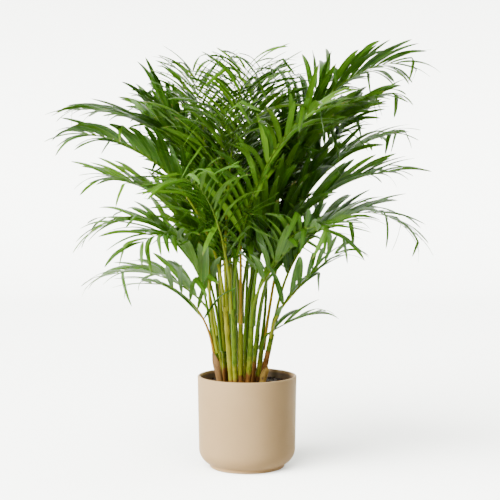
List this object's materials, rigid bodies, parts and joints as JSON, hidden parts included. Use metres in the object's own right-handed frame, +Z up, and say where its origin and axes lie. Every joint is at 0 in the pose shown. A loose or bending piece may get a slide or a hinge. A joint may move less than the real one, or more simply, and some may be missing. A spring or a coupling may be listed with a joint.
{
  "type": "potted areca palm",
  "caption": "An areca palm with arching green fronds on a clump of yellow-green canes, in a plain matt beige planter with a rounded bottom edge.",
  "frame": {"origin": "on the floor, at the planter's axis, in the middle of its flat underside", "axes": "+Z up; -Y towards the side of the palm that faces the viewer; +X to that viewer's right"},
  "size_m": [0.9631, 0.8606, 1.0435],
  "materials": {
    "planter_ceramic": "matte",
    "soil": "matte",
    "cane_green": "satin",
    "dry_husk": "matte",
    "frond_green": "satin"
  },
  "bodies": {
    "root": {"planter": "planter_ceramic", "potting_soil": "soil", "cane_01": "cane_green", "cane_02": "cane_green", "cane_03": "cane_green", "cane_04": "cane_green", "cane_05": "cane_green", "cane_06": "cane_green", "cane_07": "cane_green", "cane_08": "cane_green", "cane_09": "cane_green", "cane_10": "cane_green", "cane_11": "cane_green", "cane_12": "cane_green", "cane_13": "cane_green", "cane_14": "cane_green", "cane_15": "cane_green", "cane_16": "cane_green", "dry_sheath_01": "dry_husk", "dry_sheath_02": "dry_husk", "frond_01": "frond_green", "frond_02": "frond_green", "frond_03": "frond_green", "frond_04": "frond_green", "frond_05": "frond_green", "frond_06": "frond_green", "frond_07": "frond_green", "frond_08": "frond_green", "frond_09": "frond_green", "frond_10": "frond_green", "frond_11": "frond_green", "frond_12": "frond_green", "frond_13": "frond_green", "frond_14": "frond_green", "frond_15": "frond_green", "frond_16": "frond_green", "frond_17": "frond_green", "frond_18": "frond_green", "frond_19": "frond_green", "frond_20": "frond_green", "frond_21": "frond_green", "frond_22": "frond_green", "frond_23": "frond_green", "frond_24": "frond_green", "frond_25": "frond_green", "frond_26": "frond_green", "frond_27": "frond_green", "frond_28": "frond_green", "frond_29": "frond_green", "frond_30": "frond_green", "frond_31": "frond_green", "frond_32": "frond_green", "frond_33": "frond_green", "frond_34": "frond_green", "frond_35": "frond_green", "frond_36": "frond_green", "frond_37": "frond_green", "frond_38": "frond_green", "frond_39": "frond_green", "frond_40": "frond_green"}
  },
  "joints": []
}
